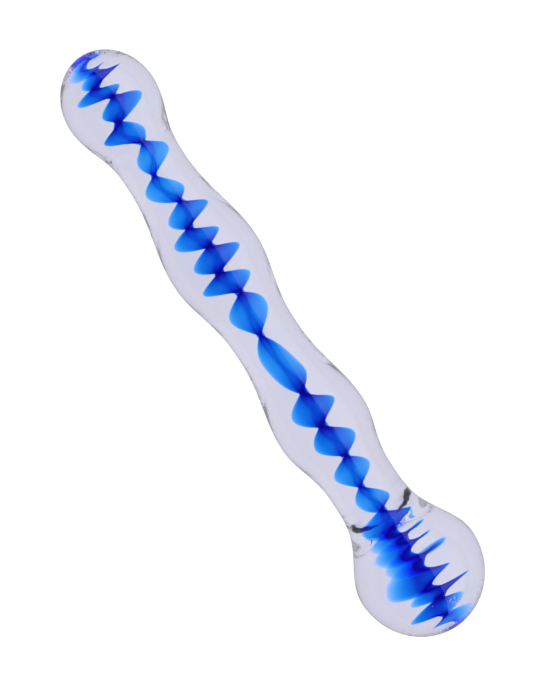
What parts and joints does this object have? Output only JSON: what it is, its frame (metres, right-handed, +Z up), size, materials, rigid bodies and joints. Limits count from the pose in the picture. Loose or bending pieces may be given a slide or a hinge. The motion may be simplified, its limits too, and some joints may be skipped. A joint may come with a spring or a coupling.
{
  "type": "glass massage wand",
  "caption": "Solid clear glass massage wand with a small ball, two soft swells and a large ball, and a twisted blue glass ribbon sealed inside.",
  "frame": {"origin": "on the wand's axis at half of its length, the centre of its box", "axes": "+X along the wand's axis towards the large ball, +Z up"},
  "size_m": [0.198, 0.0388, 0.0388],
  "materials": {
    "clear_glass": "fire-polished, smooth",
    "blue_glass": "see-through coloured glass, sealed inside"
  },
  "bodies": {
    "root": {"glass_shaft": "clear_glass", "glass_ball_end": "clear_glass", "blue_ribbon": "blue_glass"}
  },
  "joints": []
}
